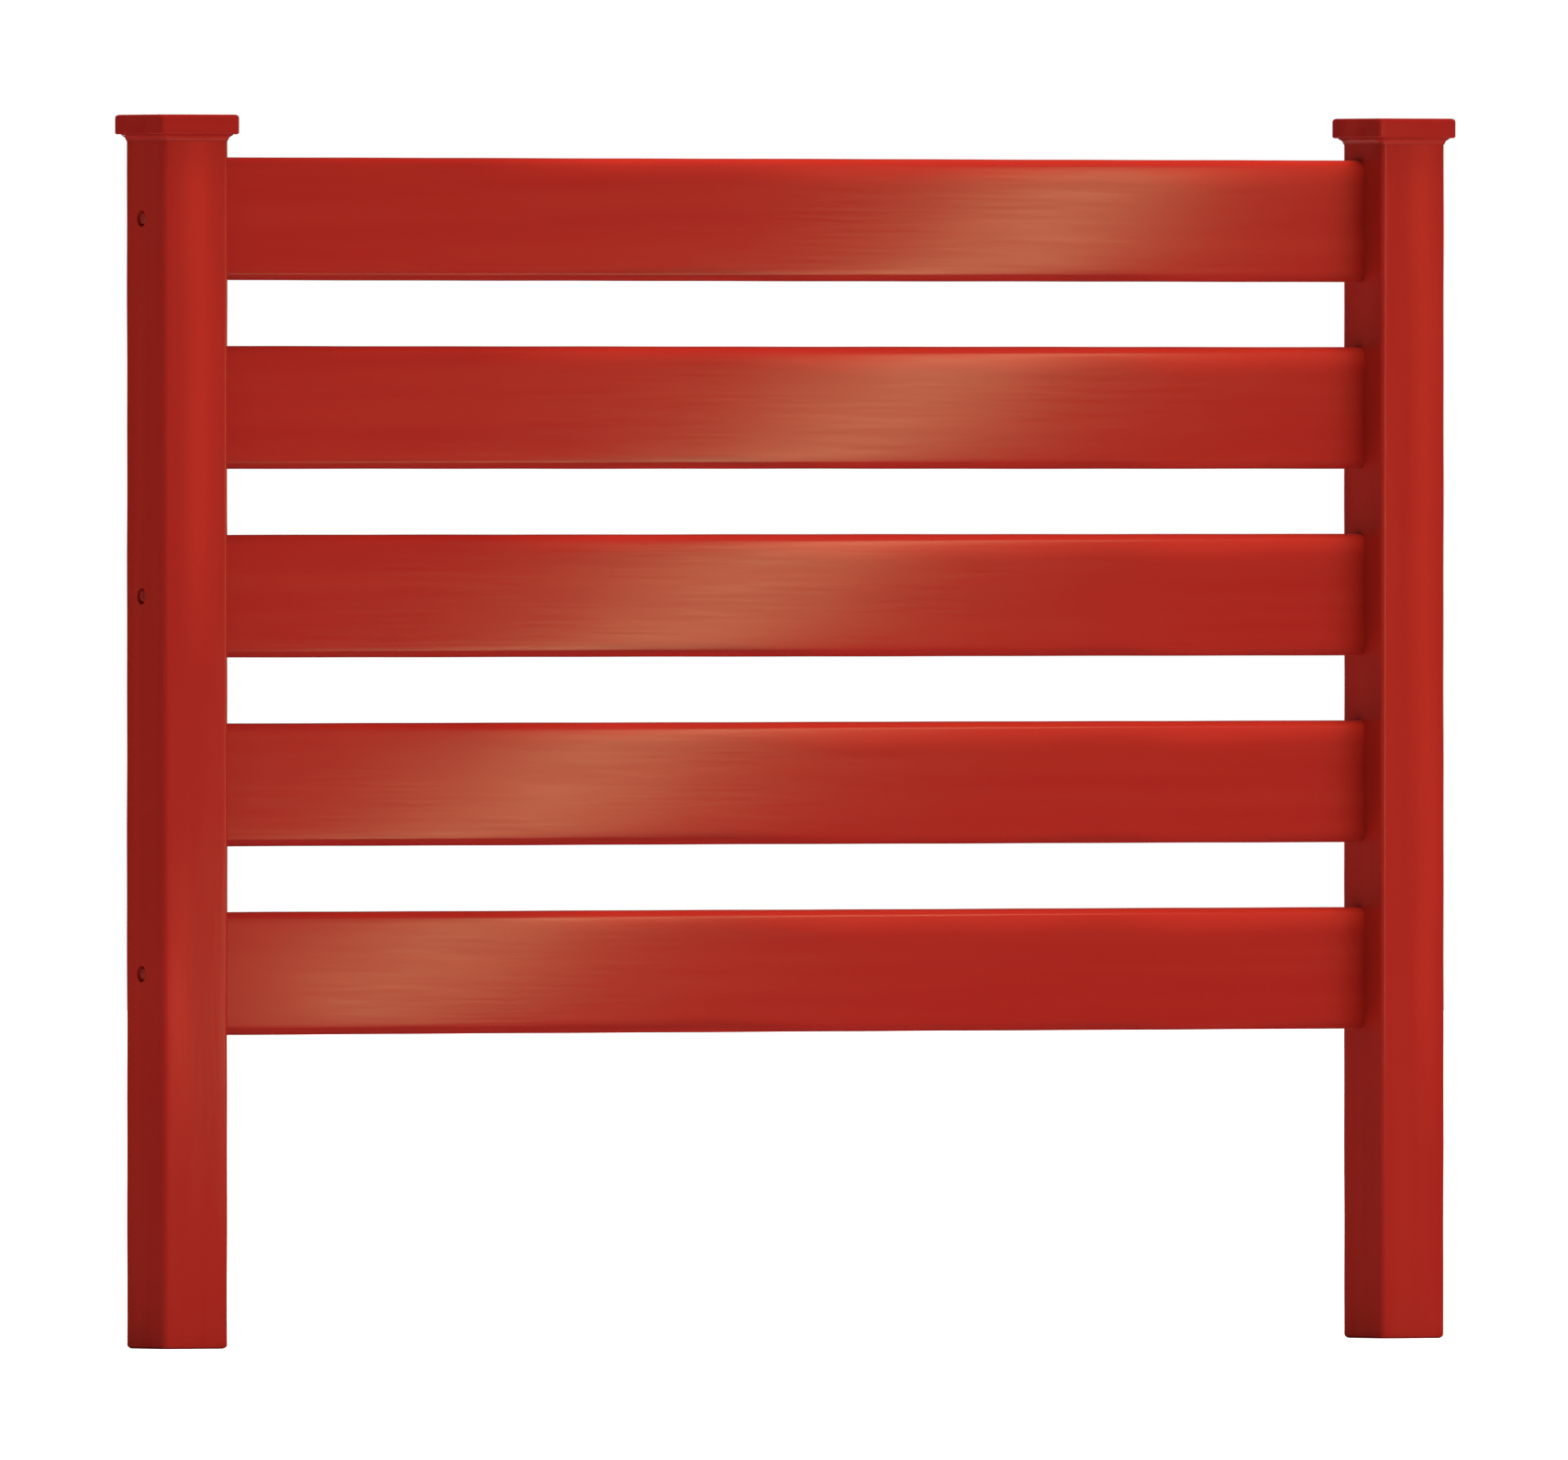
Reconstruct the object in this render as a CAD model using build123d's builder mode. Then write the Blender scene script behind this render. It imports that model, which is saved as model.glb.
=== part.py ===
from build123d import *
import os

# A five-board painted timber stock panel: two capped posts joined by five tenoned boards.
# Boards 1, 3 and 5 are drawn up with bolts and barrel nuts, and boards 2 and 4 are pegged.
# Millimetres. +X runs from the left post to the right one, -Y is the front, +Z is up.
# The origin is on the floor, midway between the posts and midway through their depth.

# Overall
PANEL_WIDE = 1824.0  # over the posts' outer faces
PANEL_HIGH = 1490.0  # floor to the top of the caps

# Posts
POST_SIDE = 92.0
POST_ARRIS_R = 6.0
FOOT_EDGE_R = 5.0

# Caps and the cove moulding under them
CAP_HIGH = 24.0
CAP_OVERHANG = 10.0
CAP_CORNER_R = 5.0
CAP_TOP_EDGE_R = 4.0
CAP_LOWER_EDGE_R = 2.5
COVE_HIGH = 8.0
COVE_LIP = 1.0
COVE_R = 6.4
COVE_NOSE = 0.4  # how far the moulding's lower edge stands out
COVE_GAP = 0.1  # glue line between the moulding and the post

# Boards (rails)
RAIL_COUNT = 5
RAIL_HIGH = 149.0
RAIL_THICK = 28.0
RAIL_EDGE_R = 9.0
RAIL_PITCH = 228.0
RAIL_SET_BACK = 40.0  # from the posts' front faces to the boards' front faces
TOP_RAIL_DROP = 51.0  # from the top of the caps to the top of board 1
BOLTED_RAILS = (1, 3, 5)
PEGGED_RAILS = (2, 4)

# Tenons and mortises, both with round ends
TENON_LONG = 35.0
TENON_TALL = 105.0
TENON_THICK = 18.0
MORTISE_PLAY = 0.2  # all round the tenon
MORTISE_SPARE = 1.0  # beyond the tenon's end

# Bolts, washers and barrel nuts (M8)
BOLT_R = 4.0
BOLT_LONG = 120.0
BOLT_HEAD_ACROSS_FLATS = 13.0
BOLT_HEAD_HIGH = 5.3
BOLT_CHAMFER = 0.8
BOLT_HOLE_R = 4.5
COUNTERBORE_R = 10.0
COUNTERBORE_DEEP = 9.0
WASHER_R = 8.0
WASHER_HOLE_R = 4.2
WASHER_THICK = 1.6
NUT_R = 6.0
NUT_LONG = 20.0
NUT_HOLE_R = 4.05
NUT_INSET = 30.0  # from the board's shoulder to the nut's axis
NUT_BORE_R = 6.1
NUT_BORE_SPARE = 0.5
NUT_SLOT_WIDE = 1.4
NUT_SLOT_DEEP = 1.6
BOLT_BORE_BEYOND_NUT = 15.0

# Pegs and cap dowels
PEG_R = 4.0
PEG_LONG = 55.0
PEG_CHAMFER = 0.5
PEG_INSET = 18.0  # from the post's inner face
PEG_SPACING = 50.0
DOWEL_R = 5.0
DOWEL_IN_POST = 26.0
DOWEL_IN_CAP = 14.0
DOWEL_OFFSET = 20.0
DOWEL_CHAMFER = 1.0
BORE_PLAY = 0.05  # on the radius of a peg or dowel
BORE_SPARE = 1.0  # beyond its end

# Worked out from the above
POST_HIGH = PANEL_HIGH - CAP_HIGH
POST_X = PANEL_WIDE / 2 - POST_SIDE / 2
POST_OUTER_X = PANEL_WIDE / 2
SHOULDER_X = POST_OUTER_X - POST_SIDE
CLEAR_SPAN = 2 * SHOULDER_X
CAP_SIDE = POST_SIDE + 2 * CAP_OVERHANG
ARRIS_CENTRE = POST_SIDE / 2 - POST_ARRIS_R
RAIL_Y = -POST_SIDE / 2 + RAIL_SET_BACK + RAIL_THICK / 2
BOLT_SEAT_X = POST_OUTER_X - COUNTERBORE_DEEP + WASHER_THICK
NUT_X = SHOULDER_X - NUT_INSET
POSTS = {"left": -1, "right": 1}  # the side of the panel each one stands on

os.makedirs("parts", exist_ok=True)


def rail_z(number):
    """Height of a board's centre line, counting from the top."""
    return PANEL_HIGH - TOP_RAIL_DROP - RAIL_HIGH / 2 - (number - 1) * RAIL_PITCH


def facing_x(x, z, side):
    """A plane on the boards' centre line whose normal points outwards along X on the given side."""
    return Plane(origin=(x, RAIL_Y, z), x_dir=(0, 1, 0), z_dir=(side, 0, 0))


def facing_back(x, y, z):
    """A plane whose normal points to the back, for bores that start there."""
    return Plane(origin=(x, y, z), x_dir=(1, 0, 0), z_dir=(0, 1, 0))


def peg_places(side, y):
    """One plane for each peg of a post, at depth y."""
    x = side * (SHOULDER_X + PEG_INSET)
    offsets = (-PEG_SPACING / 2, PEG_SPACING / 2)
    return [facing_back(x, y, rail_z(n) + dz) for n in PEGGED_RAILS for dz in offsets]


def dowel_places(side, z, facing=1):
    """One plane for each cap dowel of a post, on a diagonal of its top, facing up or down."""
    offsets = (-DOWEL_OFFSET, DOWEL_OFFSET)
    return [Plane(origin=(side * POST_X + d, d, z), z_dir=(0, 0, facing)) for d in offsets]


def keep(piece, node):
    """Labels a finished piece and writes it as one node."""
    piece.part.label = node
    export_step(piece.part, f"parts/{node}.step")


def make_post(name, side):
    """A square post with eased arrises, mortised for the boards and bored for bolts, pegs and dowels."""
    with BuildPart() as post:
        with BuildSketch(Plane.XY):
            with Locations((side * POST_X, 0)):
                RectangleRounded(POST_SIDE, POST_SIDE, POST_ARRIS_R)
        extrude(amount=POST_HIGH)
        fillet(post.edges().group_by(Axis.Z)[0], radius=FOOT_EDGE_R)

        with BuildSketch(facing_x(side * SHOULDER_X, 0, side)):
            with Locations([(0, side * rail_z(n)) for n in range(1, RAIL_COUNT + 1)]):
                SlotOverall(
                    TENON_TALL + 2 * MORTISE_PLAY, TENON_THICK + 2 * MORTISE_PLAY, rotation=90
                )
        extrude(amount=TENON_LONG + MORTISE_SPARE, mode=Mode.SUBTRACT)

        with Locations([facing_x(side * POST_OUTER_X, rail_z(n), side) for n in BOLTED_RAILS]):
            CounterBoreHole(BOLT_HOLE_R, COUNTERBORE_R, COUNTERBORE_DEEP, depth=POST_SIDE)
        with Locations(peg_places(side, POST_SIDE / 2)):
            Hole(PEG_R + BORE_PLAY, depth=PEG_LONG + BORE_SPARE)
        with Locations(dowel_places(side, POST_HIGH)):
            Hole(DOWEL_R + BORE_PLAY, depth=DOWEL_IN_POST + BORE_SPARE)
    keep(post, f"{name}_post")


def make_cap(name, side):
    """A flat square plate with softened edges, bored underneath for its two dowels."""
    with BuildPart() as cap:
        with BuildSketch(Plane.XY.offset(POST_HIGH)):
            with Locations((side * POST_X, 0)):
                RectangleRounded(CAP_SIDE, CAP_SIDE, CAP_CORNER_R)
        extrude(amount=CAP_HIGH)
        fillet(cap.edges().group_by(Axis.Z)[-1], radius=CAP_TOP_EDGE_R)
        fillet(cap.edges().group_by(Axis.Z)[0], radius=CAP_LOWER_EDGE_R)
        with Locations(dowel_places(side, POST_HIGH, facing=-1)):
            Hole(DOWEL_R + BORE_PLAY, depth=DOWEL_IN_CAP + BORE_SPARE)
    keep(cap, f"{name}_cap")


def strip_section(side, facing, end):
    """The plane across a strip where its straight run meets the arris at one end: X outwards, Y up."""
    outwards = Vector(1, 0, 0).rotate(Axis.Z, facing)
    along = Vector(0, 1, 0).rotate(Axis.Z, facing)
    origin = Vector(side * POST_X, 0, 0) + along * (end * ARRIS_CENTRE)
    return Plane(origin=origin, x_dir=outwards, z_dir=-along)


def cove_outline():
    """The moulding's outline from the post outwards: flat back and top, thin lip, hollow, small nose."""
    lip_x = POST_SIDE / 2 + COVE_NOSE + COVE_R
    arc_z = POST_HIGH - COVE_LIP - COVE_R
    back_x = POST_SIDE / 2 + COVE_GAP
    with BuildSketch() as outline:
        with BuildLine():
            Polyline((back_x, POST_HIGH), (lip_x, POST_HIGH), (lip_x, POST_HIGH - COVE_LIP))
            CenterArc((lip_x, arc_z), COVE_R, 90, 90)
            Polyline(
                (lip_x - COVE_R, arc_z),
                (lip_x - COVE_R, POST_HIGH - COVE_HIGH),
                (back_x, POST_HIGH - COVE_HIGH),
                (back_x, POST_HIGH),
            )
        make_face()
    return outline.sketch


def make_cove_strip(node, side, facing):
    """A moulding strip on the side that the angle faces, turned half way round each arris to its mitre."""
    with BuildPart() as strip:
        with BuildSketch(strip_section(side, facing, 1)):
            add(cove_outline())
        extrude(amount=2 * ARRIS_CENTRE)
        for end in (-1, 1):
            plane = strip_section(side, facing, end)
            with BuildSketch(plane):
                add(cove_outline())
            arris_axis = Axis(plane.origin + plane.x_dir * ARRIS_CENTRE, (0, 0, end))
            revolve(axis=arris_axis, revolution_arc=45)
    keep(strip, node)


def make_rail(number):
    """A board with rounded long edges and a round-ended tenon at each end."""
    z = rail_z(number)
    with BuildPart() as rail:
        with BuildSketch(Plane.YZ.offset(-SHOULDER_X)):
            with Locations((RAIL_Y, z)):
                RectangleRounded(RAIL_THICK, RAIL_HIGH, RAIL_EDGE_R)
        extrude(amount=CLEAR_SPAN)
        with BuildSketch(Plane.YZ.offset(-SHOULDER_X - TENON_LONG)):
            with Locations((RAIL_Y, z)):
                SlotOverall(TENON_TALL, TENON_THICK, rotation=90)
        extrude(amount=CLEAR_SPAN + 2 * TENON_LONG)

        for side in POSTS.values():
            if number in BOLTED_RAILS:
                with Locations(facing_x(side * (SHOULDER_X + TENON_LONG), z, side)):
                    Hole(BOLT_HOLE_R, depth=TENON_LONG + NUT_INSET + BOLT_BORE_BEYOND_NUT)
                with Locations(facing_back(side * NUT_X, RAIL_Y + RAIL_THICK / 2, z)):
                    Hole(NUT_BORE_R, depth=(RAIL_THICK + NUT_LONG) / 2 + NUT_BORE_SPARE)
            else:
                places = peg_places(side, RAIL_Y + RAIL_THICK / 2)
                with Locations([place for place in places if abs(place.origin.Z - z) < RAIL_HIGH]):
                    Hole(PEG_R + BORE_PLAY, depth=RAIL_THICK)
    keep(rail, f"rail_{number}")


def make_bolts(name, side):
    """Hexagon-head bolts, one for each bolted board, with the heads sunk in the counterbores."""
    seats = [facing_x(side * BOLT_SEAT_X, rail_z(n), side) for n in BOLTED_RAILS]
    with BuildPart() as bolts:
        with BuildSketch(*seats):
            RegularPolygon(BOLT_HEAD_ACROSS_FLATS / 2, 6, major_radius=False)
        extrude(amount=BOLT_HEAD_HIGH)
        with BuildSketch(*seats):
            Circle(BOLT_R)
        extrude(amount=-BOLT_LONG)
        tips = bolts.faces().sort_by(Axis.X, reverse=side < 0)[: len(seats)]
        chamfer([tip.edges()[0] for tip in tips], length=BOLT_CHAMFER)
        tops = bolts.faces().sort_by(Axis.X, reverse=side > 0)[: len(seats)]
        chamfer([edge for top in tops for edge in top.edges()], length=BOLT_CHAMFER)
    keep(bolts, f"{name}_bolts")


def make_washers(name, side):
    """A flat washer under each bolt head, on the floor of the counterbore."""
    seats = [facing_x(side * BOLT_SEAT_X, rail_z(n), side) for n in BOLTED_RAILS]
    with BuildPart() as washers:
        with BuildSketch(*seats):
            Circle(WASHER_R)
            Circle(WASHER_HOLE_R, mode=Mode.SUBTRACT)
        extrude(amount=-WASHER_THICK)
    keep(washers, f"{name}_washers")


def make_barrel_nuts(name, side):
    """Cross dowel nuts in the boards, entered from the back, with a screwdriver slot in that end."""
    back_y = RAIL_Y + NUT_LONG / 2
    ends = [facing_back(side * NUT_X, back_y, rail_z(n)) for n in BOLTED_RAILS]
    with BuildPart() as nuts:
        with BuildSketch(*ends):
            Circle(NUT_R)
        extrude(amount=-NUT_LONG)
        with BuildSketch(*ends):
            Rectangle(3 * NUT_R, NUT_SLOT_WIDE)
        extrude(amount=-NUT_SLOT_DEEP, mode=Mode.SUBTRACT)
        with Locations([facing_x(side * (NUT_X + NUT_R), rail_z(n), side) for n in BOLTED_RAILS]):
            Hole(NUT_HOLE_R, depth=2 * NUT_R)
    keep(nuts, f"{name}_barrel_nuts")


def make_pegs(name, side):
    """Round pegs through the tenons of the pegged boards, trimmed flush with the post's back."""
    with BuildPart() as pegs:
        with BuildSketch(*peg_places(side, POST_SIDE / 2)):
            Circle(PEG_R)
        extrude(amount=-PEG_LONG)
        chamfer(pegs.edges().filter_by(GeomType.CIRCLE), length=PEG_CHAMFER)
    keep(pegs, f"{name}_pegs")


def make_cap_dowels(name, side):
    """Two dowels that locate a cap on its post."""
    with BuildPart() as dowels:
        with BuildSketch(*dowel_places(side, POST_HIGH - DOWEL_IN_POST)):
            Circle(DOWEL_R)
        extrude(amount=DOWEL_IN_POST + DOWEL_IN_CAP)
        chamfer(dowels.edges().filter_by(GeomType.CIRCLE), length=DOWEL_CHAMFER)
    keep(dowels, f"{name}_cap_dowels")


for rail_number in range(1, RAIL_COUNT + 1):
    make_rail(rail_number)

for post_name, post_side in POSTS.items():
    make_post(post_name, post_side)
    make_cap(post_name, post_side)
    outer_facing = 0 if post_side > 0 else 180
    strip_facings = {"front": -90, "back": 90, "outer": outer_facing, "inner": outer_facing + 180}
    for strip_name, strip_facing in strip_facings.items():
        make_cove_strip(f"{post_name}_cove_{strip_name}", post_side, strip_facing)
    make_bolts(post_name, post_side)
    make_washers(post_name, post_side)
    make_barrel_nuts(post_name, post_side)
    make_pegs(post_name, post_side)
    make_cap_dowels(post_name, post_side)
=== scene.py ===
# %% [markdown]
# # A five-board painted stock panel
# Two square posts carry five horizontal boards, and a flat cap with a small hollow moulding under it
# finishes each post. The measured model comes in first as a fixed frame: it gives every size and place,
# so that nothing here has to be fitted afterwards. Everything is in metres.

# %% Load the frame
import math

import bmesh
import bpy
import numpy as np
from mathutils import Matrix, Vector


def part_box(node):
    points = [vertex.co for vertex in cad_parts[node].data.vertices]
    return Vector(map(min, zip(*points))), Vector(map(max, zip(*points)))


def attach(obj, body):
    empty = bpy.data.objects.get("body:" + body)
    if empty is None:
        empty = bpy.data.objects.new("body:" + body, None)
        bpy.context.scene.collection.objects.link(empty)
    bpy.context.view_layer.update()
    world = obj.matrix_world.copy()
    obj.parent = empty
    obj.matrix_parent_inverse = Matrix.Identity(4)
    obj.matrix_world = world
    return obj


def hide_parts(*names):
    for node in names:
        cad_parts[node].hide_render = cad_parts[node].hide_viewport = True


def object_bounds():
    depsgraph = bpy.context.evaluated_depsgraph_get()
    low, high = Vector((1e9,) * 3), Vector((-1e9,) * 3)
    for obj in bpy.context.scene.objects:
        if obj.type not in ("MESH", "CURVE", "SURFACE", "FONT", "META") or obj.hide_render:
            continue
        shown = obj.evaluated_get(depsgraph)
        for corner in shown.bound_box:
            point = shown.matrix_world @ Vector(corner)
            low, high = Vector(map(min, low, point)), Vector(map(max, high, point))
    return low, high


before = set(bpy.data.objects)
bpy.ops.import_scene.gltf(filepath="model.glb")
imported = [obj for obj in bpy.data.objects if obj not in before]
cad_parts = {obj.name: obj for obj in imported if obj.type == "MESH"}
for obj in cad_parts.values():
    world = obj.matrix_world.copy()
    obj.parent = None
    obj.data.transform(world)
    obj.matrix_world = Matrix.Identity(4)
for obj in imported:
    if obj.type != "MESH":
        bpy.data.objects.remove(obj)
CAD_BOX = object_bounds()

box_low, box_high = (np.array(corner) for corner in CAD_BOX)
print("frame:", len(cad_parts), "nodes, box", np.round(box_high - box_low, 3))

# %% [markdown]
# ## The camera
# The panel is seen from its left front, from very far away with a long lens, so upright lines stay
# upright and the boards hardly taper. A near lens turned by the same angle would make the near post
# taller than the far one. The lens follows from the distance and from how wide the view is there. It
# stays short enough for a camera that is stood back from other sides to keep the panel in its range.

# %% Camera
VIEW_AZIMUTH = math.radians(-31.4)
VIEW_ELEVATION = math.radians(0.255)
VIEW_DISTANCE = 75.0
VIEW_WIDE = 1.905
SENSOR_WIDE = 36.0

aim = Vector((box_low + box_high) / 2) + Vector((-0.0073, 0.0, 0.0))
towards_camera = Vector((
    math.sin(VIEW_AZIMUTH) * math.cos(VIEW_ELEVATION),
    -math.cos(VIEW_AZIMUTH) * math.cos(VIEW_ELEVATION),
    math.sin(VIEW_ELEVATION),
))
camera = bpy.data.objects.new("camera", bpy.data.cameras.new("camera"))
camera.data.sensor_width = SENSOR_WIDE
camera.data.lens = SENSOR_WIDE * VIEW_DISTANCE / VIEW_WIDE
camera.data.clip_end = 4 * VIEW_DISTANCE
camera.location = aim + VIEW_DISTANCE * towards_camera
camera.rotation_euler = (-towards_camera).to_track_quat("-Z", "Y").to_euler()
bpy.context.collection.objects.link(camera)
bpy.context.scene.camera = camera
bpy.context.scene.view_settings.view_transform = "Standard"
print("camera: lens", round(camera.data.lens), "mm at", VIEW_DISTANCE, "m")

# %% [markdown]
# ## The light
# A broad overhead light makes the upper edges of the boards bright, and the pale floor sends light
# back up to the undersides. A key light from the right leaves the left faces dark and throws each
# post's soft shadow on the boards. Gloss paint shows what is in front of it like a dull mirror, so the
# reflections are planned apart from the shading: the large lights are kept out of them, and one long
# narrow warm light, leaning over, draws a soft sloping band of gloss across the boards. Where it has
# to stand follows from the mirror rule: as far to the right of square-on as the camera is to the left.

# %% Lights
MIRROR_WAY = Vector((-math.sin(VIEW_AZIMUTH), -math.cos(VIEW_AZIMUTH), 0.0))


def soft_box(name, place, aimed_at, wide, high, power, colour, lean=0.0):
    """A rectangular light at a place, turned to face a point and leaned about its own line of sight."""
    light = bpy.data.lights.new(name, "AREA")
    light.shape = "RECTANGLE"
    light.size, light.size_y = wide, high
    light.energy, light.color = power, colour
    lamp = bpy.data.objects.new(name, light)
    turn = (Vector(aimed_at) - Vector(place)).to_track_quat("-Z", "Y").to_matrix()
    lamp.rotation_euler = turn.to_euler()
    lamp.rotation_euler.rotate_axis("Z", lean)
    lamp.location = place
    lamp.visible_camera = False
    bpy.context.collection.objects.link(lamp)
    return lamp


def far_light(name, shines_along, strength, spread_degrees):
    """A distant light, even over the whole panel, whose shadows are as soft as its spread is wide."""
    light = bpy.data.lights.new(name, "SUN")
    light.energy, light.angle = strength, math.radians(spread_degrees)
    lamp = bpy.data.objects.new(name, light)
    lamp.rotation_euler = Vector(shines_along).to_track_quat("-Z", "Y").to_euler()
    lamp.visible_glossy = False
    bpy.context.collection.objects.link(lamp)


far_light("overhead", (-0.10, 0.06, -0.98), 3.4, 35)
far_light("right_key", (-0.66, 0.72, -0.30), 0.84, 32)

BAND_DISTANCE = 2.5
BAND_LEAN = math.radians(40.5)
BAND_WIDE, BAND_HIGH, BAND_POWER = 0.12, 1.62, 4.3
WARM = (1, 0.88, 0.45)
band_middle = Vector((-0.09, float(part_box("rail_3")[0][1]), 0.905)) + BAND_DISTANCE * MIRROR_WAY
soft_box(
    "gloss_band", band_middle, band_middle - MIRROR_WAY,
    BAND_WIDE, BAND_HIGH, BAND_POWER, WARM, lean=-BAND_LEAN,
)
soft_box("back_band", (0.6, 2.6, 1.0), (0, 0, 0.75), 0.3, 1.8, 8, (1, 0.95, 0.9))
print("gloss band stands at", np.round(band_middle, 2))

# %% [markdown]
# ## The floor and the surroundings
# The floor is plain and pale, and so large and so lit that it runs into the white around it with no
# seam. The surroundings are white to the camera but dim in the paint's reflections, as in a studio
# whose white walls are flagged off with black cards.

# %% Floor and world
FLOOR_RADIUS = 45.0


def wire(tree, kind, sockets=None, **settings):
    """Adds a node to a tree: an output given for a socket is linked, and any other value is set."""
    made = tree.nodes.new(kind)
    for setting, value in settings.items():
        setattr(made, setting, value)
    for key, value in (sockets or {}).items():
        if isinstance(value, bpy.types.NodeSocket):
            tree.links.new(value, made.inputs[key])
        else:
            made.inputs[key].default_value = value
    return made


def make_floor():
    """A flat disc: its points are a circle's cosine and sine times the radius."""
    turn = np.linspace(0, 2 * np.pi, 96, endpoint=False)
    rim = np.stack([np.cos(turn), np.sin(turn), np.zeros_like(turn)], axis=1) * FLOOR_RADIUS
    mesh = bpy.data.meshes.new("floor")
    mesh.from_pydata(rim.tolist(), [], [list(range(len(rim)))])
    floor = bpy.data.objects.new("floor", mesh)
    bpy.context.collection.objects.link(floor)
    pale = bpy.data.materials.new("pale_floor")
    pale.use_nodes = True
    tree = pale.node_tree
    tree.nodes.clear()
    matt = wire(tree, "ShaderNodeBsdfDiffuse", {"Color": (0.88, 0.88, 0.88, 1)})
    glow = wire(tree, "ShaderNodeEmission", {"Strength": 0.45})
    lifted = wire(tree, "ShaderNodeAddShader", {0: matt.outputs[0], 1: glow.outputs[0]})
    ray = wire(tree, "ShaderNodeLightPath").outputs["Is Camera Ray"]
    both = wire(tree, "ShaderNodeMixShader", {0: ray, 1: matt.outputs[0], 2: lifted.outputs[0]})
    wire(tree, "ShaderNodeOutputMaterial", {"Surface": both.outputs[0]})
    mesh.materials.append(pale)
    floor.visible_glossy = False
    return floor


make_floor()

world = bpy.data.worlds.new("studio")
bpy.context.scene.world = world
world.use_nodes = True
world.node_tree.nodes.clear()
studio = world.node_tree
ray = wire(studio, "ShaderNodeLightPath")
room = wire(studio, "ShaderNodeBackground", {"Color": (1, 1, 1, 1), "Strength": 0.165})
dim = wire(studio, "ShaderNodeBackground", {"Color": (1, 0.95, 0.9, 1), "Strength": 0.012})
white = wire(studio, "ShaderNodeBackground", {"Color": (1, 1, 1, 1), "Strength": 1.0})
glossy = {0: ray.outputs["Is Glossy Ray"], 1: room.outputs[0], 2: dim.outputs[0]}
lit = wire(studio, "ShaderNodeMixShader", glossy)
camera_sees = {0: ray.outputs["Is Camera Ray"], 1: lit.outputs[0], 2: white.outputs[0]}
seen = wire(studio, "ShaderNodeMixShader", camera_sees)
wire(studio, "ShaderNodeOutputWorld", {"Surface": seen.outputs[0]})
print("floor radius", FLOOR_RADIUS, "m")

# %% [markdown]
# ## What the paint does
# The same red gloss is on every timber piece, brushed on along the grain. Four effects are each a node
# group, built once and used with its own values: streaks and fine bristle lines along the grain,
# painted shade that darkens the arrises, dust on what faces up, and a soft band of painted light:
# painted highlight down the posts and along the boards' upper edges, and painted shade along their lower
# edges and at the left end of their upper edges.


# %% Node groups
def start_group(name, inputs, outputs):
    """A node group with the named inputs and outputs, each given as its socket type."""
    group = bpy.data.node_groups.new(name, "ShaderNodeTree")
    for socket, kind in inputs.items():
        group.interface.new_socket(name=socket, in_out="INPUT", socket_type=kind)
    for socket, kind in outputs.items():
        group.interface.new_socket(name=socket, in_out="OUTPUT", socket_type=kind)
    return group, group.nodes.new("NodeGroupInput"), group.nodes.new("NodeGroupOutput")


def math_node(tree, operation, first, second=0.0, clamp=False):
    """The result of one sum, with numbers or sockets as its two terms."""
    made = wire(tree, "ShaderNodeMath", {0: first, 1: second}, operation=operation, use_clamp=clamp)
    return made.outputs[0]


def ramp(tree, value, low, high, out_low=0.0, out_high=1.0):
    """A smooth change from out_low to out_high as the value goes from low to high."""
    terms = {"Value": value, "From Min": low, "From Max": high, "To Min": out_low, "To Max": out_high}
    return wire(tree, "ShaderNodeMapRange", terms, interpolation_type="SMOOTHSTEP").outputs["Result"]


def make_brush_marks():
    """Streaks and bristle lines: noise on coordinates that were already stretched along the grain."""
    group, given, result = start_group(
        "brush_marks",
        {"Vector": "NodeSocketVector"},
        {"Streak": "NodeSocketFloat", "Bristle": "NodeSocketFloat"},
    )
    place = given.outputs["Vector"]
    broad = wire(group, "ShaderNodeTexNoise", {"Vector": place, "Scale": 1.0, "Detail": 3.0})
    fine = wire(group, "ShaderNodeTexNoise", {"Vector": place, "Scale": 7.0, "Detail": 4.0})
    streak = ramp(group, broad.outputs["Fac"], 0.3, 0.72)
    group.links.new(streak, result.inputs["Streak"])
    group.links.new(fine.outputs["Fac"], result.inputs["Bristle"])
    return group


def make_shaded_arrises():
    """Painted shade on the arrises: the mesh's own sharpness of bend, broken up by noise."""
    group, given, result = start_group(
        "painted_arris_shade", {"Vector": "NodeSocketVector"}, {"Mask": "NodeSocketFloat"}
    )
    bend = wire(group, "ShaderNodeNewGeometry").outputs["Pointiness"]
    place = given.outputs["Vector"]
    patchy = wire(group, "ShaderNodeTexNoise", {"Vector": place, "Scale": 14.0, "Detail": 5.0})
    edge = ramp(group, bend, 0.515, 0.58)
    arris_shade = math_node(group, "MULTIPLY", edge, ramp(group, patchy.outputs["Fac"], 0.35, 0.65, 0.35, 1.0))
    group.links.new(arris_shade, result.inputs["Mask"])
    return group


def make_dust():
    """Dust settles on what faces up: the height of the normal, times a cloudy noise."""
    group, given, result = start_group(
        "settled_dust", {"Vector": "NodeSocketVector"}, {"Mask": "NodeSocketFloat"}
    )
    normal = wire(group, "ShaderNodeNewGeometry").outputs["Normal"]
    upward = wire(group, "ShaderNodeSeparateXYZ", {0: normal}).outputs["Z"]
    place = given.outputs["Vector"]
    cloud = wire(group, "ShaderNodeTexNoise", {"Vector": place, "Scale": 9.0, "Detail": 6.0})
    patches = ramp(group, cloud.outputs["Fac"], 0.3, 0.7)
    mask = math_node(group, "MULTIPLY", ramp(group, upward, 0.75, 1.0), patches)
    group.links.new(mask, result.inputs["Mask"])
    return group


BAND_WANDER = 0.03
BAND_END_FADE = 5.0


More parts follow.
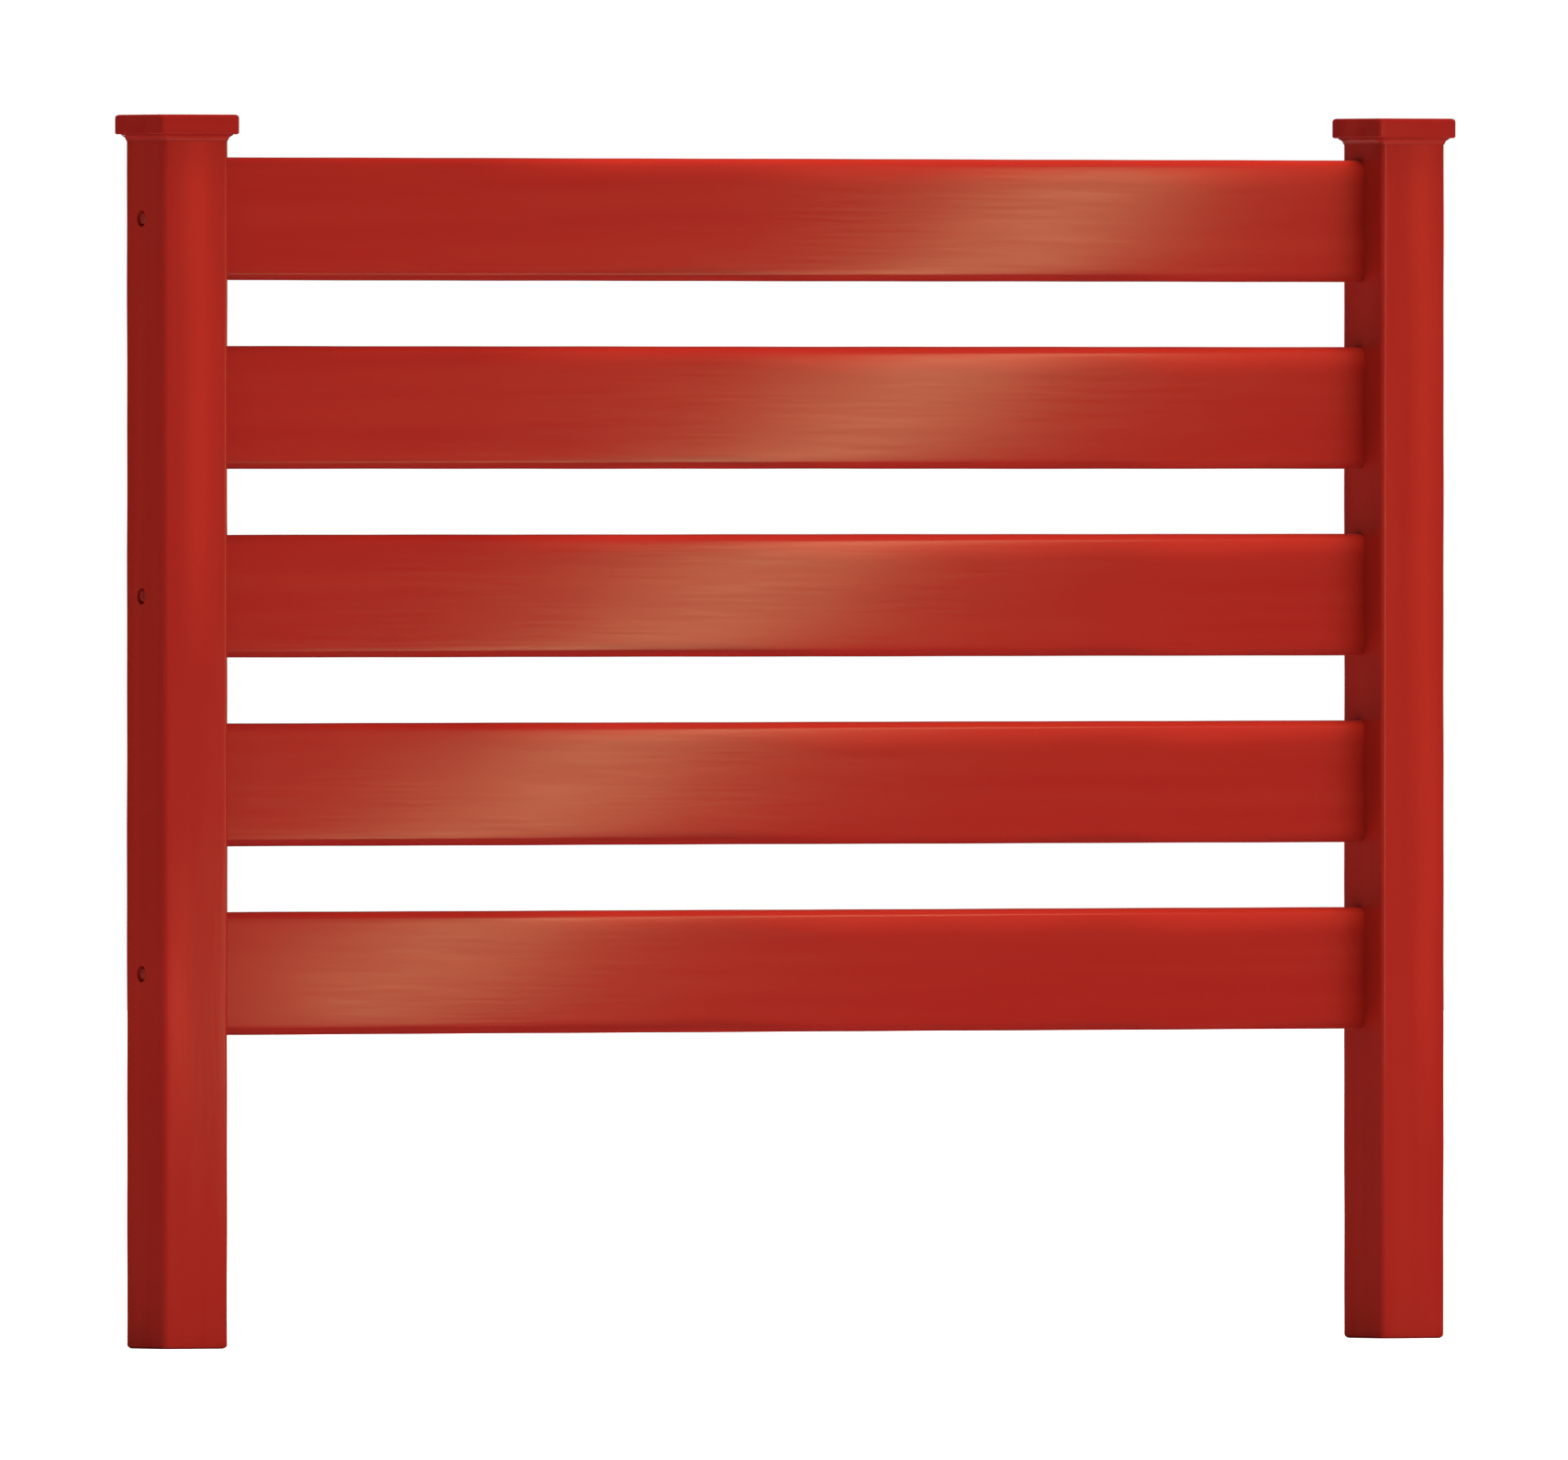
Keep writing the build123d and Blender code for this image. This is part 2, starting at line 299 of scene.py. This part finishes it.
def make_shade_and_highlight_band():
    """One band of painted light or shade: a soft hump across X about a wandering centre line, faded out
    above and below.
    """
    floats = ("Centre", "Half Width", "Low", "High")
    group, given, result = start_group(
        "painted_light_hump",
        {"Vector": "NodeSocketVector", **{name: "NodeSocketFloat" for name in floats}},
        {"Mask": "NodeSocketFloat"},
    )
    place = wire(group, "ShaderNodeSeparateXYZ", {0: given.outputs["Vector"]})
    terms = {"W": place.outputs["Z"], "Scale": 2.5, "Detail": 1.0}
    wander = wire(group, "ShaderNodeTexNoise", terms, noise_dimensions="1D")
    sway = math_node(group, "MULTIPLY", math_node(group, "SUBTRACT", wander.outputs["Fac"], 0.5), BAND_WANDER)
    line = math_node(group, "ADD", given.outputs["Centre"], sway)
    away = math_node(group, "ABSOLUTE", math_node(group, "SUBTRACT", place.outputs["X"], line))
    share = math_node(group, "DIVIDE", away, given.outputs["Half Width"])
    across = ramp(group, share, 0.0, 1.0, 1.0, 0.0)
    height = place.outputs["Z"]
    above_low = math_node(group, "SUBTRACT", height, given.outputs["Low"])
    below_high = math_node(group, "SUBTRACT", given.outputs["High"], height)
    lower = math_node(group, "MULTIPLY", above_low, BAND_END_FADE, clamp=True)
    upper = math_node(group, "MULTIPLY", below_high, BAND_END_FADE, clamp=True)
    mask = math_node(group, "MULTIPLY", across, math_node(group, "MULTIPLY", lower, upper))
    group.links.new(mask, result.inputs["Mask"])
    return group


BRUSH_MARKS, SHADED_ARRISES, DUST, SHADE_AND_HIGHLIGHT_BAND = make_brush_marks(), make_shaded_arrises(), make_dust(), make_shade_and_highlight_band()
print("groups:", [group.name for group in (BRUSH_MARKS, SHADED_ARRISES, DUST, SHADE_AND_HIGHLIGHT_BAND)])

# %% [markdown]
# ## The red gloss paint
# The base is one red, a little deeper on the caps. A streak makes it a little more orange, and painted
# shade makes an arris darker. Bands of painted light go on last: a painted highlight down each post's
# front and along each board's upper edge, and painted shade along each board's lower edge and at the
# left end of its upper edge. Bristle lines are a fine bump and also change the roughness, which breaks
# the edge of a reflection as real brushed gloss does. The coordinates are stretched along the grain, X
# on a board and Z on a post, by a Mapping node in each material.

# %% Paint
RED = (0.385, 0.0142, 0.0084, 1)
CAP_RED = (0.345, 0.0105, 0.0072, 1)
ORANGE_RED = (0.420, 0.0225, 0.0115, 1)
SHADE_RED = (0.250, 0.0110, 0.0085, 1)
HIGHLIGHT_RED = (0.560, 0.0270, 0.0145, 1)
DUST_COLOUR = (0.45, 0.30, 0.24, 1)
GRAIN_ALONG_X = (1.3, 34.0, 34.0)
GRAIN_ALONG_Z = (34.0, 34.0, 1.3)


def tinted(tree, colour, tint, mask, share):
    """The colour moved towards the tint by the mask times a share."""
    amount = math_node(tree, "MULTIPLY", mask, share)
    mixed = wire(tree, "ShaderNodeMix", {0: amount, 6: colour, 7: tint}, data_type="RGBA")
    return mixed.outputs[2]


def make_paint(name, grain, light_and_shade_bands=(), roughness=0.175, band_place_turn=None, base=RED):
    """Red gloss brushed along the grain. A band of painted light or shade is its centre, half width, ends,
    colour and strength. A function given for the bands' place turns the place into the one that a band
    reads, where bands don't run up the piece."""
    paint = bpy.data.materials.new(name)
    paint.use_nodes = True
    tree = paint.node_tree
    shader = tree.nodes["Principled BSDF"]
    place = wire(tree, "ShaderNodeTexCoord").outputs["Object"]
    stretched = wire(tree, "ShaderNodeMapping", {"Vector": place, "Scale": grain}).outputs[0]
    marks = wire(tree, "ShaderNodeGroup", node_tree=BRUSH_MARKS)
    tree.links.new(stretched, marks.inputs["Vector"])
    edges = wire(tree, "ShaderNodeGroup", node_tree=SHADED_ARRISES)
    dust = wire(tree, "ShaderNodeGroup", node_tree=DUST)
    for group in (edges, dust):
        tree.links.new(place, group.inputs["Vector"])

    colour = tinted(tree, base, ORANGE_RED, marks.outputs["Streak"], 0.5)
    # Painted shade: the arrises are darkened.
    colour = tinted(tree, colour, SHADE_RED, edges.outputs["Mask"], 0.7)
    # Bands of painted light and painted shade go on last.
    for centre, half_width, low, high, tint, strength in light_and_shade_bands:
        light_band_node = wire(tree, "ShaderNodeGroup", node_tree=SHADE_AND_HIGHLIGHT_BAND)
        tree.links.new(band_place_turn(tree, place) if band_place_turn else place, light_band_node.inputs["Vector"])
        for socket, value in zip(("Centre", "Half Width", "Low", "High"), (centre, half_width, low, high)):
            light_band_node.inputs[socket].default_value = value
        colour = tinted(tree, colour, tint, light_band_node.outputs["Mask"], strength)
    colour = tinted(tree, colour, DUST_COLOUR, dust.outputs["Mask"], 0.10)
    tree.links.new(colour, shader.inputs["Base Color"])

    uneven = math_node(tree, "MULTIPLY_ADD", marks.outputs["Bristle"], 0.10)
    uneven.node.inputs[2].default_value = roughness - 0.05
    dulled = math_node(tree, "ADD", uneven, math_node(tree, "MULTIPLY", dust.outputs["Mask"], 0.15))
    tree.links.new(dulled, shader.inputs["Roughness"])
    relief = {"Strength": 0.15, "Distance": 0.0004, "Height": marks.outputs["Bristle"]}
    bump = wire(tree, "ShaderNodeBump", relief)
    tree.links.new(bump.outputs[0], shader.inputs["Normal"])
    return paint


def across_boards(tree, place):
    """Turns a band of painted light or shade to run along the boards: across it is the depth below each
    board's top edge.
    """
    parts = wire(tree, "ShaderNodeSeparateXYZ", {0: place})
    below = math_node(tree, "SUBTRACT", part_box("rail_1")[1][2], parts.outputs["Z"])
    wrapped = wire(tree, "ShaderNodeMath", {0: below, 1: BOARD_PITCH, 2: 0.0}, operation="WRAP").outputs[0]
    return wire(tree, "ShaderNodeCombineXYZ", {"X": wrapped, "Z": parts.outputs["X"]}).outputs[0]


BOARD_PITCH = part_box("rail_1")[1][2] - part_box("rail_2")[1][2]
left_x, right_x = (
    (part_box(f"{side}_post")[0][0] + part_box(f"{side}_post")[1][0]) / 2 for side in ("left", "right")
)
# Board bands: a painted highlight along each upper edge from x = -0.45 m rightwards, painted shade on the
# upper edge at the left end, and painted shade along each lower edge.
BOARD_SHADE_AND_HIGHLIGHT = [
    (0.003, 0.032, -0.45, 1.20, HIGHLIGHT_RED, 0.95),
    (0.002, 0.014, -1.20, -0.60, SHADE_RED, 0.60),
    (0.147, 0.013, -1.20, 1.20, SHADE_RED, 0.55),
]
# Painted highlights: brighter streaks down the posts, two on the left post and one on the right.
POST_HIGHLIGHTS = {
    "left": [
        (left_x + 0.007, 0.034, 0.80, 1.60, HIGHLIGHT_RED, 0.60),
        (left_x - 0.025, 0.030, 0.20, 0.62, HIGHLIGHT_RED, 0.50),
    ],
    "right": [(right_x + 0.018, 0.029, 0.22, 1.60, HIGHLIGHT_RED, 0.42)],
}
rail_paint = make_paint("rail_paint", GRAIN_ALONG_X, BOARD_SHADE_AND_HIGHLIGHT, band_place_turn=across_boards)
post_paints = {
    side: make_paint(f"{side}_post_paint", GRAIN_ALONG_Z, light_and_shade_bands) for side, light_and_shade_bands in POST_HIGHLIGHTS.items()
}
cap_paint = make_paint("cap_paint", GRAIN_ALONG_X, base=CAP_RED)
moulding_paint = make_paint("moulding_paint", GRAIN_ALONG_X, roughness=0.24)
peg_paint = make_paint("peg_paint", GRAIN_ALONG_X, roughness=0.30)
print("paints: rail, two posts, cap, moulding, peg")

# %% [markdown]
# ## Metal and bare wood
# The bolt heads are painted over where they sit in their recesses. The barrel nuts keep their zinc
# plating, which is a crystalline bluish grey, and the cap dowels are bare timber with a straight
# grain. Most of each is hidden, but every piece has its own finish.


# %% Metal and bare wood
def make_finish(name, stretch, dark, pale, metallic, rough_low, rough_high, bump_distance):
    """A finish between two colours, both following one noise that is stretched over the piece."""
    finish = bpy.data.materials.new(name)
    finish.use_nodes = True
    tree = finish.node_tree
    shader = tree.nodes["Principled BSDF"]
    shader.inputs["Metallic"].default_value = metallic
    place = wire(tree, "ShaderNodeTexCoord").outputs["Object"]
    stretched = wire(tree, "ShaderNodeMapping", {"Vector": place, "Scale": stretch}).outputs[0]
    terms = {"Vector": stretched, "Scale": 1.0, "Detail": 6.0, "Distortion": 0.4}
    noise = wire(tree, "ShaderNodeTexNoise", terms)
    value = ramp(tree, noise.outputs["Fac"], 0.3, 0.7)
    tree.links.new(tinted(tree, dark, pale, value, 1.0), shader.inputs["Base Color"])
    rough = ramp(tree, noise.outputs["Fac"], 0.3, 0.7, rough_low, rough_high)
    tree.links.new(rough, shader.inputs["Roughness"])
    relief = {"Strength": 0.5, "Distance": bump_distance, "Height": noise.outputs["Fac"]}
    bump = wire(tree, "ShaderNodeBump", relief)
    tree.links.new(bump.outputs[0], shader.inputs["Normal"])
    return finish


bolt_paint = make_finish(
    "bolt_paint", (260, 260, 260), (0.27, 0.012, 0.008, 1), (0.36, 0.016, 0.010, 1),
    0.0, 0.25, 0.45, 0.0002,
)
zinc = make_finish(
    "zinc", (420, 120, 420), (0.42, 0.44, 0.47, 1), (0.66, 0.67, 0.70, 1),
    1.0, 0.28, 0.48, 0.00008,
)
bare_timber = make_finish(
    "bare_timber", (520, 520, 22), (0.40, 0.25, 0.13, 1), (0.62, 0.44, 0.27, 1),
    0.0, 0.55, 0.75, 0.00015,
)

CARRIED_OVER = {
    "bolts": bolt_paint,
    "washers": bolt_paint,
    "barrel_nuts": zinc,
    "pegs": peg_paint,
    "cap_dowels": bare_timber,
}
for side in ("left", "right"):
    for part, finish in CARRIED_OVER.items():
        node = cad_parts[f"{side}_{part}"]
        node.data.materials.clear()
        node.data.materials.append(finish)
print("finished", 2 * len(CARRIED_OVER), "carried-over nodes")

# %% [markdown]
# ## A skin from rings
# A planed board or post is one outline carried along its length. The outline is a rounded rectangle
# with many points, and each ring is that outline moved, thinned or scaled. Joining neighbouring rings
# with quads, and closing each end at a middle point, gives a closed skin with smooth round edges.


# %% Rings and skins
def rounded_outline(half_a, half_b, radius, side_steps=14, arc_steps=8):
    """A closed rounded rectangle: four quarter circles about the inner corners, joined by straight runs."""
    quarter = np.linspace(0, np.pi / 2, arc_steps + 1)
    arc = radius * np.stack([np.cos(quarter), np.sin(quarter)], axis=1)
    turns = [np.array([[c, -s], [s, c]]) for c, s in ((1, 0), (0, 1), (-1, 0), (0, -1))]
    corners = np.array([[1, 1], [-1, 1], [-1, -1], [1, -1]]) * [half_a - radius, half_b - radius]
    arcs = [arc @ turn.T + corner for turn, corner in zip(turns, corners)]
    share = np.linspace(0, 1, side_steps + 1)[1:-1, None]
    runs = [arcs[k][-1] * (1 - share) + arcs[(k + 1) % 4][0] * share for k in range(4)]
    return np.concatenate([np.concatenate([arcs[k], runs[k]]) for k in range(4)])


def skin(name, rings):
    """Rings of points, ring by ring, joined by quads; the two end rings close at their own middles."""
    count, around = rings.shape[:2]
    index = np.arange(count * around).reshape(count, around)
    ahead = np.roll(index, -1, axis=1)
    quads = np.stack([index[:-1], ahead[:-1], ahead[1:], index[1:]], axis=-1).reshape(-1, 4)
    first, last = count * around, count * around + 1
    near_fan = np.stack([ahead[0], index[0], np.full(around, first)], axis=1)
    far_fan = np.stack([index[-1], ahead[-1], np.full(around, last)], axis=1)
    points = np.concatenate([rings.reshape(-1, 3), rings[0].mean(0)[None], rings[-1].mean(0)[None]])
    mesh = bpy.data.meshes.new(name)
    mesh.from_pydata(points.tolist(), [], quads.tolist() + near_fan.tolist() + far_fan.tolist())
    face_outwards(mesh)
    piece = bpy.data.objects.new(name, mesh)
    bpy.context.collection.objects.link(piece)
    return piece


def face_outwards(mesh):
    """Merges points that coincide and turns every face to look out of the closed skin."""
    work = bmesh.new()
    work.from_mesh(mesh)
    bmesh.ops.remove_doubles(work, verts=work.verts, dist=1e-6)
    bmesh.ops.recalc_face_normals(work, faces=work.faces)
    work.to_mesh(mesh)
    work.free()


def ripple(along, seed, size, waves=(0.9, 0.37, 0.16)):
    """A gentle unevenness: a few sines of different wavelengths, with phases from the seed."""
    phases = np.random.default_rng(seed).uniform(0, 2 * np.pi, len(waves))
    total = sum(np.sin(2 * np.pi * along / wave + phase) for wave, phase in zip(waves, phases))
    return size * total / len(waves)


print("outline of", len(rounded_outline(0.045, 0.045, 0.006)), "points")

# %% [markdown]
# ## Cutting recesses
# The posts have bolt recesses and the bolted boards have bores for the barrel nuts. A drill makes
# each one, so here too a plain cylinder is taken away with a Boolean, and the cutter is thrown away.


# %% Cutting and finishing
def drill(name, start, end, radius, steps=48):
    """A cylinder between two points along one axis: two rings, on a circle square to that axis."""
    turn = np.linspace(0, 2 * np.pi, steps, endpoint=False)
    axis = int(np.argmax(np.abs(np.subtract(end, start))))
    across = [k for k in range(3) if k != axis]
    rings = np.tile(np.array([start, end], dtype=float)[:, None, :], (1, steps, 1))
    rings[..., across[0]] += radius * np.cos(turn)
    rings[..., across[1]] += radius * np.sin(turn)
    return skin(name, rings)


def take_away(piece, cutters):
    """Cuts every cutter out of the piece, keeps the result as a plain mesh and deletes the cutters."""
    for cutter in cutters:
        cut = piece.modifiers.new(cutter.name, "BOOLEAN")
        cut.operation, cut.object, cut.solver = "DIFFERENCE", cutter, "EXACT"
    shape = piece.evaluated_get(bpy.context.evaluated_depsgraph_get())
    piece.data = bpy.data.meshes.new_from_object(shape)
    piece.modifiers.clear()
    for cutter in cutters:
        bpy.data.objects.remove(cutter)


def finish_piece(piece, paint):
    """Smooth shading that keeps real corners and the paint; the piece goes under the root body, and the
    node that it stands for is hidden.
    """
    piece.data.materials.clear()
    piece.data.materials.append(paint)
    piece.data.shade_smooth()
    piece.data.set_sharp_from_angle(angle=math.radians(40))
    weigh = piece.modifiers.new("even_shading", "WEIGHTED_NORMAL")
    weigh.keep_sharp = True
    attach(piece, "root")
    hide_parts(piece.name.removesuffix("_timber"))


print("cutting and finishing helpers ready")

# %% [markdown]
# ## The posts
# A post is sawn square, planed and its arrises are eased, so no face is perfectly true. Its outline
# is carried up from a softened foot, and a few tenths of a millimetre of unevenness draws it in from
# the measured size, never out. Then the mortises, bolt recesses and peg holes are cut.

# %% Posts
ARRIS_RADIUS = 0.006
FOOT_RADIUS = 0.005
POST_STEPS = 110
RECESS_RADIUS, RECESS_DEEP = 0.010, 0.009
SHANK_HOLE_RADIUS = 0.0045
PEG_HOLE_RADIUS, PEG_HALF_SPACING = 0.00405, 0.025
POST_UNEVEN = 0.00025
CUT_PAST = 0.01
MORTISE_HALF_TALL, MORTISE_HALF_THICK, MORTISE_DEEP = 0.0527, 0.0092, 0.036
BOLTED, PEGGED = (1, 3, 5), (2, 4)


def middle_of(node):
    """The middle of a node's box."""
    low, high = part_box(node)
    return (np.array(low) + np.array(high)) / 2


def make_post(side, seed):
    """An eased square outline carried up in rings, drawn in at the foot by a quarter circle."""
    low, high = (np.array(corner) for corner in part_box(f"{side}_post"))
    centre, half = (low + high) / 2, (high[0] - low[0]) / 2
    outline = rounded_outline(half, half, ARRIS_RADIUS)
    quarter = np.linspace(0, np.pi / 2, 7)
    foot_heights = low[2] + FOOT_RADIUS * (1 - np.cos(quarter))
    foot_inset = FOOT_RADIUS * (1 - np.sin(quarter))
    heights = np.concatenate([foot_heights, np.linspace(foot_heights[-1], high[2], POST_STEPS)[1:]])
    inset = np.concatenate([foot_inset, np.zeros(POST_STEPS - 1)])
    uneven = POST_UNEVEN + ripple(heights, seed, POST_UNEVEN)
    scale = 1 - (inset + uneven)[:, None] / half
    rings = np.empty((len(heights), len(outline), 3))
    rings[..., 0] = centre[0] + scale * outline[:, 0]
    rings[..., 1] = centre[1] + scale * outline[:, 1]
    rings[..., 2] = heights[:, None]
    return skin(f"{side}_post_timber", rings)


def post_cutters(side, sign):
    """The mortises, bolt recesses, shank holes and peg holes of one post."""
    low, high = (np.array(corner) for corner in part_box(f"{side}_post"))
    outer, inner = (high[0], low[0]) if sign > 0 else (low[0], high[0])
    slot = rounded_outline(MORTISE_HALF_THICK, MORTISE_HALF_TALL, MORTISE_HALF_THICK * 0.999)
    cutters = []
    for number in range(1, 6):
        board = middle_of(f"rail_{number}")
        rings = np.empty((2, len(slot), 3))
        rings[..., 0] = np.array([inner - CUT_PAST * sign, inner + MORTISE_DEEP * sign])[:, None]
        rings[..., 1] = board[1] + slot[:, 0]
        rings[..., 2] = board[2] + slot[:, 1]
        cutters.append(skin(f"mortise_{number}", rings))
        if number in BOLTED:
            rim, floor = outer + CUT_PAST * sign, outer - RECESS_DEEP * sign
            deep = inner + (MORTISE_DEEP - 0.001) * sign
            mouth, end = (rim, board[1], board[2]), (deep, board[1], board[2])
            cutters.append(drill(f"recess_{number}", mouth, (floor, board[1], board[2]), RECESS_RADIUS))
            cutters.append(drill(f"shank_{number}", mouth, end, SHANK_HOLE_RADIUS))
    peg_low, peg_high = (np.array(corner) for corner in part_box(f"{side}_pegs"))
    peg_x = (peg_low[0] + peg_high[0]) / 2
    for number in PEGGED:
        for offset in (-PEG_HALF_SPACING, PEG_HALF_SPACING):
            height = middle_of(f"rail_{number}")[2] + offset
            start, end = (peg_x, high[1] + CUT_PAST, height), (peg_x, peg_low[1] - 0.001, height)
            cutters.append(drill(f"peg_hole_{number}", start, end, PEG_HOLE_RADIUS, steps=32))
    return cutters


for side, sign, seed in (("left", -1, 3), ("right", 1, 8)):
    post = make_post(side, seed)
    take_away(post, post_cutters(side, sign))
    finish_piece(post, post_paints[side])
    print(post.name, len(post.data.polygons), "faces")

# %% [markdown]
# ## The boards
# A board's long edges are well rounded, and sanding and paint have softened its faces towards those
# edges, which is why the upper edge catches so broad a strip of light. The outline is thinned towards
# its top and bottom by a high power of the height, so the middle of the face stays flat. Each end
# steps in to a round-ended tenon, in the same set of rings.

# %% Boards
BOARD_EDGE_RADIUS = 0.009
FACE_CROWN, CROWN_POWER = 0.0004, 5
TENON_LONG, TENON_HALF_TALL, TENON_HALF_THICK = 0.035, 0.0525, 0.009
NUT_BORE_RADIUS = 0.0061
BOARD_UNEVEN = 0.0002
BOARD_STEPS = 150


def make_board(number):
    """Rings along X: a tenon ring pair, the crowned board outline many times, then the tenon again."""
    low, high = (np.array(corner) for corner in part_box(f"rail_{number}"))
    centre, half_thick, half_tall = (low + high) / 2, (high[1] - low[1]) / 2, (high[2] - low[2]) / 2
    board = rounded_outline(half_thick, half_tall, BOARD_EDGE_RADIUS, side_steps=24)
    board[:, 0] *= 1 - FACE_CROWN / half_thick * np.abs(board[:, 1] / half_tall) ** CROWN_POWER
    tenon = rounded_outline(TENON_HALF_THICK, TENON_HALF_TALL, TENON_HALF_THICK * 0.999, side_steps=24)
    shoulder = high[0] - TENON_LONG
    along = np.linspace(-shoulder, shoulder, BOARD_STEPS)
    shrink = BOARD_UNEVEN + ripple(along, 20 + number, BOARD_UNEVEN, waves=(1.7, 0.62, 0.21))
    boards = board[None] * (1 - shrink[:, None, None] / [half_thick * 3, half_tall])
    tenons = np.tile(tenon[None], (2, 1, 1))
    sections = np.concatenate([tenons, boards, tenons])
    places = np.concatenate([[low[0], -shoulder], along, [shoulder, high[0]]])
    rings = np.empty((len(places), len(board), 3))
    rings[..., 0] = places[:, None]
    rings[..., 1] = centre[1] + sections[..., 0]
    rings[..., 2] = centre[2] + sections[..., 1]
    return skin(f"rail_{number}_timber", rings)


for number in range(1, 6):
    board = make_board(number)
    if number in BOLTED:
        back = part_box(f"rail_{number}")[1][1]
        height = middle_of(f"rail_{number}")[2]
        bores = []
        for side in ("left", "right"):
            nut_low, nut_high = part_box(f"{side}_barrel_nuts")
            nut_x = (nut_low[0] + nut_high[0]) / 2
            start, end = (nut_x, back + CUT_PAST, height), (nut_x, nut_low[1] - 0.0005, height)
            bores.append(drill(f"{side}_nut_bore", start, end, NUT_BORE_RADIUS))
        take_away(board, bores)
    finish_piece(board, rail_paint)
    print(board.name, len(board.data.polygons), "faces")

# %% [markdown]
# ## The caps
# A cap is a square plate with its corners and edges taken off. It is made as a stack of rings: the
# outline is drawn in round the lower edge, goes straight up, is drawn in again round the upper edge,
# and then closes over the flat top.

# %% Caps
CAP_CORNER_RADIUS, CAP_TOP_RADIUS, CAP_LOWER_RADIUS = 0.005, 0.004, 0.0025


def make_cap(side):
    """Rounded-square rings, each given by how far it is drawn in and how high it is."""
    low, high = (np.array(corner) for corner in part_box(f"{side}_cap"))
    centre, half = (low + high) / 2, (high[0] - low[0]) / 2
    outline = rounded_outline(half, half, CAP_CORNER_RADIUS)
    quarter = np.linspace(0, np.pi / 2, 7)
    flat = np.linspace(0.15, 1, 7)[:-1]
    inset = np.concatenate([
        half * (1 - flat * (1 - CAP_LOWER_RADIUS / half)),
        CAP_LOWER_RADIUS * (1 - np.sin(quarter)),
        CAP_TOP_RADIUS * (1 - np.cos(quarter)),
        (half * (1 - flat * (1 - CAP_TOP_RADIUS / half)))[::-1],
    ])
    height = np.concatenate([
        np.full(len(flat), low[2]),
        low[2] + CAP_LOWER_RADIUS * (1 - np.cos(quarter)),
        high[2] - CAP_TOP_RADIUS * (1 - np.sin(quarter)),
        np.full(len(flat), high[2]),
    ])
    rings = np.empty((len(inset), len(outline), 3))
    rings[..., :2] = centre[:2] + outline * (1 - inset / half)[:, None, None]
    rings[..., 2] = height[:, None]
    return skin(f"{side}_cap_timber", rings)


for side in ("left", "right"):
    cap = make_cap(side)
    finish_piece(cap, cap_paint)
    print(cap.name, len(cap.data.polygons), "faces")

# %% [markdown]
# ## The hollow moulding
# Under each cap run four strips, mitred at the corners. A strip's outline is a nose, a quarter hollow
# and a thin lip. It is carried along one side of the post and half way round the arris at each end,
# turning about the arris's own centre, so that it meets the next strip at 45 degrees with no step.

# %% Moulding
HOLLOW_RADIUS, LIP_HIGH, NOSE_OUT, STRIP_GAP = 0.0064, 0.001, 0.0004, 0.0001
CORNER_STEPS, RUN_STEPS = 9, 25
SIDEWAYS = {"front": (0, -1), "back": (0, 1)}


def make_strip(side, facing, way):
    """Outline points (out, up) carried along a path that turns 45 degrees about each arris's centre."""
    low, high = (np.array(corner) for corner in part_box(f"{side}_post"))
    half, top, bottom = (high[0] - low[0]) / 2, high[2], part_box(f"{side}_cove_{facing}")[0][2]
    lip = half + NOSE_OUT + HOLLOW_RADIUS
    turn = np.linspace(np.pi / 2, np.pi, 13)
    hollow = np.stack([
        lip + HOLLOW_RADIUS * np.cos(turn),
        top - LIP_HIGH - HOLLOW_RADIUS + HOLLOW_RADIUS * np.sin(turn),
    ], axis=1)
    start = [[half + STRIP_GAP, bottom], [half + STRIP_GAP, top], [lip, top]]
    outline = np.concatenate([start, hollow, [[half + NOSE_OUT, bottom]]])
    centre = half - ARRIS_RADIUS
    corner, straight = np.linspace(0, np.pi / 4, CORNER_STEPS), np.linspace(-centre, centre, RUN_STEPS)
    bend = np.concatenate([-corner[::-1], np.zeros(len(straight) - 2), corner])[:, None]
    near, far = np.full(CORNER_STEPS, -centre), np.full(CORNER_STEPS, centre)
    middle = np.concatenate([near, straight[1:-1], far])[:, None]
    reach = outline[:, 0] - centre
    out, along = centre + reach * np.cos(bend), middle + reach * np.sin(bend)
    post_middle = (low + high) / 2
    rings = np.empty((*out.shape, 3))
    rings[..., 0] = post_middle[0] + way[0] * out - way[1] * along
    rings[..., 1] = post_middle[1] + way[1] * out + way[0] * along
    rings[..., 2] = outline[:, 1]
    return skin(f"{side}_cove_{facing}_timber", rings)


for side, sign in (("left", -1), ("right", 1)):
    ways = {**SIDEWAYS, "outer": (sign, 0), "inner": (-sign, 0)}
    for facing, way in ways.items():
        strip = make_strip(side, facing, way)
        finish_piece(strip, moulding_paint)
print("eight moulding strips")
